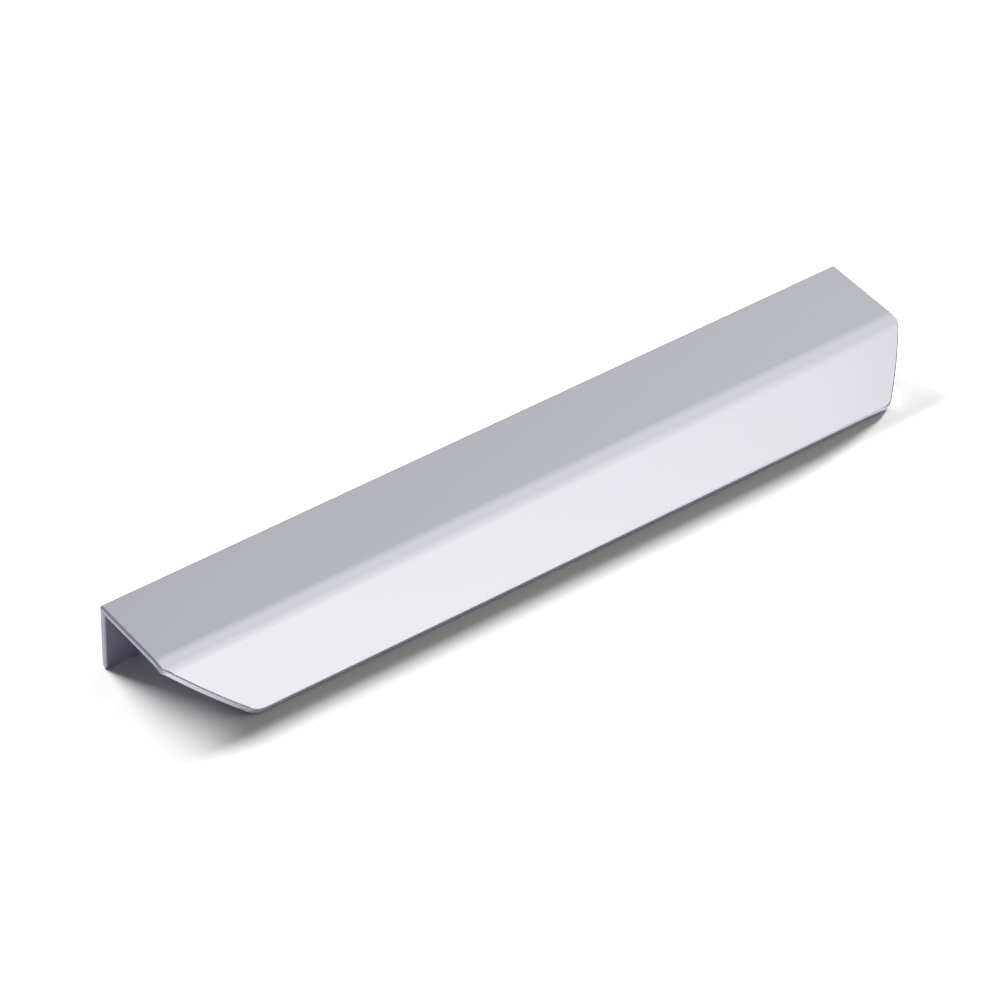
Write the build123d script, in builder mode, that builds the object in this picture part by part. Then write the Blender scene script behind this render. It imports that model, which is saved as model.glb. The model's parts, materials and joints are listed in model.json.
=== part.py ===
"""Edge pull: one length of extruded aluminium, in millimetres.

A thin leg is screwed to the back of a door, the flange lies on the door's edge and a sloping flap
hangs in front of it for the fingers. The length runs along X, the front faces -Y and Z is up.
"""

import os
from math import atan2, degrees

from build123d import *

# The section: leg, flange, narrow facet and flap
length = 200
wall = 1.6
leg_height = 17.5
flange_depth = 21
facet_width = 3.6
facet_slope = 13
flap_length = 16
flap_slope = 29.4
crease_radius = 6

# The flap's clipped ends, and the small rounding of every outer edge
clip_start = flange_depth + 2.3
clip_inset = 16.2
clip_bow = 0.56
clip_corner_radius = 1
lip_corner_radius = 3.5
edge_round = 0.5

# The screw holes in the leg
hole_spacing = 160
hole_drop = (leg_height + wall) / 2
screw_radius = 2
screw_head_radius = 3.2

with BuildPart() as edge_pull:
    # The section is one bent line, thickened to the inside by the wall.
    with BuildSketch(Plane.left):
        with BuildLine():
            leg = Line((0, -leg_height), (0, 0))
            facet = PolarLine((flange_depth, 0), facet_width, -facet_slope, mode=Mode.PRIVATE)
            flap = PolarLine(facet @ 1, flap_length, -flap_slope, mode=Mode.PRIVATE)
            FilletPolyline(leg @ 1, facet @ 0, facet @ 1, flap @ 1, radius=crease_radius)
            offset(amount=wall, side=Side.RIGHT)
        make_face()
    extrude(amount=length / 2, both=True)

    # Each end of the flap is clipped straight down, along an arc that bows out and runs past the lip.
    with BuildSketch():
        with BuildLine():
            clip_reach = (flap @ 1).X + wall
            clip = SagittaArc((length / 2, -clip_start), (length / 2 - clip_inset, -clip_reach), clip_bow)
            Polyline(clip @ 1, (length, -clip_reach), (length, -clip_start), clip @ 0)
        make_face()
        mirror(about=Plane.YZ)
    extrude(amount=leg_height, both=True, mode=Mode.SUBTRACT)

    # The flap's corners are rounded in plan: wide ones at the lip, tight ones where the clip starts.
    lip = edge_pull.faces().sort_by(Axis.Y)[0]
    fillet(lip.edges().filter_by(Axis.X, reverse=True), lip_corner_radius)
    fillet(edge_pull.edges().filter_by(Axis.Z).sort_by(Axis.Y)[:2], clip_corner_radius)

    # Every outer edge is eased: both rims of the skin, and the long edges of foot, lip and back.
    foot = edge_pull.faces().sort_by(Axis.Z)[0]
    lip = edge_pull.faces().sort_by(Axis.Y)[0]
    skin = edge_pull.faces().filter_by(lambda face: face != lip and abs(face.normal_at().X) < 0.01)
    rims = skin.edges().filter_by(Axis.X, reverse=True)
    long_edges = (foot.edges() + lip.edges()).filter_by(Axis.X)
    back_edge = edge_pull.edges().filter_by(Axis.X).group_by(Axis.Y)[-1].sort_by(Axis.Z)[-1]
    fillet(rims + long_edges + back_edge, edge_round)

    # Two screw holes, countersunk from the back of the leg.
    leg_back = Plane(origin=(0, 0, -hole_drop), x_dir=(1, 0, 0), z_dir=(0, 1, 0))
    with Locations(leg_back):
        with GridLocations(hole_spacing, 0, 2, 1):
            CounterSinkHole(screw_radius, screw_head_radius, depth=2 * wall, counter_sink_angle=90)

# At rest the pull leans forward on two rounded edges, the leg's foot and the lip. Both are rounded
# alike, so the floor runs parallel to the line between the centres of the two roundings.
foot_centre = Vector(wall - edge_round, edge_round - leg_height)
lip_centre = flap @ 1 + (flap % 1).rotate(Axis.Z, -90) * (wall - edge_round) - flap % 1 * edge_round
lean = degrees(atan2(lip_centre.Y - foot_centre.Y, lip_centre.X - foot_centre.X))
leaning = Rot(X=lean) * edge_pull.part
reach = leaning.bounding_box()
at_rest = Pos(0, -reach.center().Y, -reach.min.Z) * leaning

os.makedirs("parts", exist_ok=True)
at_rest.label = "edge_pull"
export_step(at_rest, "parts/edge_pull.step")
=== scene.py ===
"""Looks of the edge pull: brushed satin aluminium on a white floor, under soft studio light."""

import json
from math import atan2, cos, pi, radians, sin

import bpy
from mathutils import Matrix, Quaternion, Vector

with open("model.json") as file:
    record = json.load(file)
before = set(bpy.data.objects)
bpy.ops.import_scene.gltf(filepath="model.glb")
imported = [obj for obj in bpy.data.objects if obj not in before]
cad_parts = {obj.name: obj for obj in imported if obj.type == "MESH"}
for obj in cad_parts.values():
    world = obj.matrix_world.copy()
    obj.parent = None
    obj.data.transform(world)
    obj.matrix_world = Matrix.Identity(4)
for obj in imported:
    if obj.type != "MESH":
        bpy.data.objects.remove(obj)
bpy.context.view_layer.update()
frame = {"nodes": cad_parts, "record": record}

# Camera, set in the pull's own level axes, because the pull leans forward on its foot and its lip
view_azimuth = radians(-37.602)
view_elevation = radians(41.533)
view_roll = radians(1.731)
view_distance = 1.10259
view_aim = Vector((-0.00883, -0.01720, 0.00655))
lens_mm = 182.926
sensor_mm = 36
near_clip = 0.01

# Softboxes: angles in degrees, azimuth 0 at the front and positive to the right, lengths in metres.
# The back one lights the floor but isn't mirrored in the metal. The overhead one fades across its
# width to the far share.
softboxes = {
    "back": dict(
        azimuth=185.0, elevation=28.4, distance=3.0, width=1.9, height=0.8, radiance=124,
        mirrored=False,
    ),
    "side": dict(
        azimuth=112.3, elevation=11.8, distance=3.0, width=0.447, height=0.44, radiance=1390,
    ),
    "overhead": dict(
        azimuth=83.7, elevation=63.2, distance=0.7, width=1.84, height=0.5, radiance=1.63,
        far_share=0, colour=(1, 1, 0.85),
    ),
    "front": dict(
        azimuth=30.7, elevation=10.2, distance=0.9, width=0.36, height=0.39, radiance=1.2,
    ),
}
ambient = 0.305
ambient_tint = (0.98, 0.98, 1.08, 1)

# Brushed skin: its lines are noise of this scale per metre, drawn out along X, and they change the
# tint and the roughness by these shares
skin_tint = (0.6, 0.6, 0.7)
skin_roughness = 0.19
skin_anisotropy = 0.4
line_scale = (8, 2500, 2500)
line_detail = 3
line_contrast = 0.012
line_wear = 0.15
scratch_depth = 1e-5
scratch_strength = 0.3

# Faces turned down get a lighter tint, painted light that lifts their shade, and a rougher finish:
# it begins and is full where the normal's upward part has these values
painted_light_underside_tint = (0.9, 0.9, 1.0, 1)
inside_roughness = 0.7
inside_start = 0.1
inside_full = -0.6

# Cut ends, rougher and with the painted light and painted shade tints below: the mask begins and is
# full where the normal's part along the length has these values
cut_roughness = 0.8
cut_start = 0.45
cut_full = 0.6

# A cut end is clipped in front of these Y and sawn behind them. The clipped faces get a lighter
# tint, painted light, and the sawn ones a darker tint, painted shade. The sawn tint's painted shade
# reaches further round its rims, by this factor on the normal.
painted_light_clip_tint = (0.94, 0.94, 1.0, 1)
painted_shade_sawn_tint = (0.55, 0.55, 0.62, 1)
sawn_start = -0.0075
sawn_full = -0.0065
sawn_reach = 2.2

# Floor
floor_half = 3.0
floor_dark = (0.35, 0.35, 0.35, 1)
floor_light = (0.37, 0.37, 0.37, 1)
floor_roughness = 0.9
cloud_scale = 12
cloud_detail = 4


def direction(azimuth, elevation):
    """Unit vector to a place seen at these angles, azimuth 0 at the front, positive to the right."""
    level = Vector((sin(azimuth), -cos(azimuth), 0))
    return level * cos(elevation) + Vector((0, 0, sin(elevation)))


def add_object(name, data):
    piece = bpy.data.objects.new(name, data)
    bpy.context.scene.collection.objects.link(piece)
    return piece


def new_material(name):
    material = bpy.data.materials.new(name)
    material.use_nodes = True
    return material, material.node_tree, material.node_tree.nodes["Principled BSDF"]


def feed(tree, socket, value):
    """Links an input to another node's output, or sets it to a plain value."""
    if isinstance(value, bpy.types.NodeSocket):
        tree.links.new(value, socket)
    else:
        socket.default_value = value


def add_node(tree, kind, **values):
    """A shader node with some of its inputs set or linked."""
    node = tree.nodes.new(kind)
    for name, value in values.items():
        feed(tree, node.inputs[name.replace("_", " ")], value)
    return node


def calculate(tree, operation, *values):
    """Result of a math node on these values."""
    node = tree.nodes.new("ShaderNodeMath")
    node.operation = operation
    for socket, value in zip(node.inputs, values):
        feed(tree, socket, value)
    return node.outputs["Value"]


def ramp(tree, value, start=0, full=1, low=0, high=1):
    """Number that runs from low to high as the value runs from start to full."""
    node = add_node(
        tree, "ShaderNodeMapRange",
        Value=value, From_Min=start, From_Max=full, To_Min=low, To_Max=high,
    )
    return node.outputs["Result"]


def blend(tree, factor, low, high):
    """Colour that runs from low to high with the factor."""
    node = tree.nodes.new("ShaderNodeMix")
    node.data_type = "RGBA"
    sockets = {socket.identifier: socket for socket in (*node.inputs, *node.outputs)}
    feed(tree, sockets["Factor_Float"], factor)
    feed(tree, sockets["A_Color"], low)
    feed(tree, sockets["B_Color"], high)
    return sockets["Result_Color"]


def brushed_aluminium():
    """Satin metal: brushed along the length on its skin, rougher with painted light where turned
    down, rougher where it was cut, with painted light on the clipped ends and painted shade on the
    sawn ones.
    """
    material, tree, shader = new_material("brushed_satin_aluminium")
    shader.inputs["Metallic"].default_value = 1
    shader.inputs["Anisotropic"].default_value = skin_anisotropy
    across = tree.nodes.new("ShaderNodeTangent")
    across.direction_type = "RADIAL"
    across.axis = "X"
    tree.links.new(across.outputs["Tangent"], shader.inputs["Tangent"])
    place = tree.nodes.new("ShaderNodeTexCoord")
    spot = add_node(tree, "ShaderNodeSeparateXYZ", Vector=place.outputs["Object"])
    facing = add_node(tree, "ShaderNodeSeparateXYZ", Vector=place.outputs["Normal"])

    # Brush lines: fine noise, drawn out along the length
    drawn_out = add_node(
        tree, "ShaderNodeMapping", Vector=place.outputs["Object"], Scale=line_scale
    )
    noise = add_node(
        tree, "ShaderNodeTexNoise",
        Vector=drawn_out.outputs["Vector"], Scale=1, Detail=line_detail,
    )
    lines = noise.outputs["Fac"]

    # Faces turned down: painted light, a lighter tint over their shade, and more roughness
    underside_painted_light_and_roughness = ramp(tree, facing.outputs["Z"], inside_start, inside_full)

    # Cut ends: faces turned along the length
    sawn = ramp(tree, spot.outputs["Y"], sawn_start, sawn_full)
    turned = calculate(tree, "ABSOLUTE", facing.outputs["X"])
    reached = calculate(tree, "MULTIPLY", turned, ramp(tree, sawn, low=1, high=sawn_reach))
    cut = ramp(tree, reached, cut_start, cut_full)

    dark_line = [(1 - line_contrast) * channel for channel in skin_tint] + [1]
    light_line = [(1 + line_contrast) * channel for channel in skin_tint] + [1]
    tint = blend(tree, lines, dark_line, light_line)
    tint = blend(tree, underside_painted_light_and_roughness, tint, painted_light_underside_tint)
    # Cut ends: painted light on the clipped faces, painted shade on the sawn ones
    tint = blend(tree, cut, tint, blend(tree, sawn, painted_light_clip_tint, painted_shade_sawn_tint))
    tree.links.new(tint, shader.inputs["Base Color"])

    smooth_line = skin_roughness * (1 - line_wear)
    rough_line = skin_roughness * (1 + line_wear)
    roughness = ramp(tree, lines, low=smooth_line, high=rough_line)
    roughness = ramp(tree, underside_painted_light_and_roughness, low=roughness, high=inside_roughness)
    roughness = ramp(tree, cut, low=roughness, high=cut_roughness)
    tree.links.new(roughness, shader.inputs["Roughness"])

    scratches = add_node(
        tree, "ShaderNodeBump",
        Strength=scratch_strength, Distance=scratch_depth, Height=lines,
    )
    tree.links.new(scratches.outputs["Normal"], shader.inputs["Normal"])
    return material


def white_floor():
    """Matt white studio floor with a trace of unevenness."""
    material, tree, shader = new_material("matt_white_floor")
    place = tree.nodes.new("ShaderNodeTexCoord")
    clouds = add_node(
        tree, "ShaderNodeTexNoise",
        Vector=place.outputs["Object"], Scale=cloud_scale, Detail=cloud_detail,
    )
    tint = blend(tree, clouds.outputs["Fac"], floor_dark, floor_light)
    tree.links.new(tint, shader.inputs["Base Color"])
    shader.inputs["Roughness"].default_value = floor_roughness
    shader.inputs["Specular IOR Level"].default_value = 0
    return material


def add_floor():
    mesh = bpy.data.meshes.new("studio_floor")
    corners = [(-1, -1), (1, -1), (1, 1), (-1, 1)]
    points = [(floor_half * x, floor_half * y, 0) for x, y in corners]
    mesh.from_pydata(points, [], [(0, 1, 2, 3)])
    mesh.materials.append(white_floor())
    add_object("studio_floor", mesh)


def grade(light, far_share):
    """Fades a softbox along its width, from full strength to a share of it."""
    light.use_nodes = True
    tree = light.node_tree
    place = tree.nodes.new("ShaderNodeNewGeometry")
    spot = add_node(tree, "ShaderNodeSeparateXYZ", Vector=place.outputs["Parametric"])
    fade = ramp(tree, spot.outputs["X"], low=1, high=far_share)
    tree.links.new(fade, tree.nodes["Emission"].inputs["Strength"])


def add_softbox(
    name, azimuth, elevation, distance, width, height, radiance,
    far_share=1, colour=(1, 1, 1), mirrored=True,
):
    """Light turned to the pull: an even ellipse, or a rectangle that fades to its far share."""
    light = bpy.data.lights.new(name, "AREA")
    light.size = width
    light.size_y = height
    light.color = colour
    if far_share == 1:
        light.shape = "ELLIPSE"
        face = pi / 4 * width * height
    else:
        light.shape = "RECTANGLE"
        face = width * height
        grade(light, far_share)
    light.energy = radiance * pi * face  # an even face sends out pi times its radiance
    towards = direction(radians(azimuth), radians(elevation))
    lamp = add_object(name, light)
    lamp.location = towards * distance
    lamp.rotation_euler = towards.to_track_quat("Z", "Y").to_euler()
    lamp.visible_glossy = mirrored


def add_world():
    world = bpy.data.worlds.new("studio")
    world.use_nodes = True
    background = world.node_tree.nodes["Background"]
    background.inputs["Color"].default_value = ambient_tint
    background.inputs["Strength"].default_value = ambient
    bpy.context.scene.world = world


def add_camera():
    """Sees the pull as it sits level on a door, so the camera leans with it."""
    screws = next(mount for mount in frame["record"]["mounts"] if mount["name"] == "screw_holes")
    axis = Vector(screws["axis"])
    lean = Matrix.Rotation(atan2(-axis.z, -axis.y), 4, "X")
    towards = direction(view_azimuth, view_elevation)
    turn = towards.to_track_quat("Z", "Y") @ Quaternion((0, 0, 1), view_roll)
    data = bpy.data.cameras.new("camera")
    data.lens = lens_mm
    data.sensor_width = sensor_mm
    data.clip_start = near_clip
    camera = add_object("camera", data)
    stand = Matrix.Translation(view_aim + towards * view_distance) @ turn.to_matrix().to_4x4()
    camera.matrix_world = Matrix.Translation(screws["pos_m"]) @ lean @ stand
    bpy.context.scene.camera = camera


pull = frame["nodes"]["edge_pull"]
pull.material_slots[0].material = brushed_aluminium()

add_floor()
add_world()
for name, softbox in softboxes.items():
    add_softbox(f"{name}_softbox", **softbox)
add_camera()
bpy.context.scene.view_settings.view_transform = "Standard"
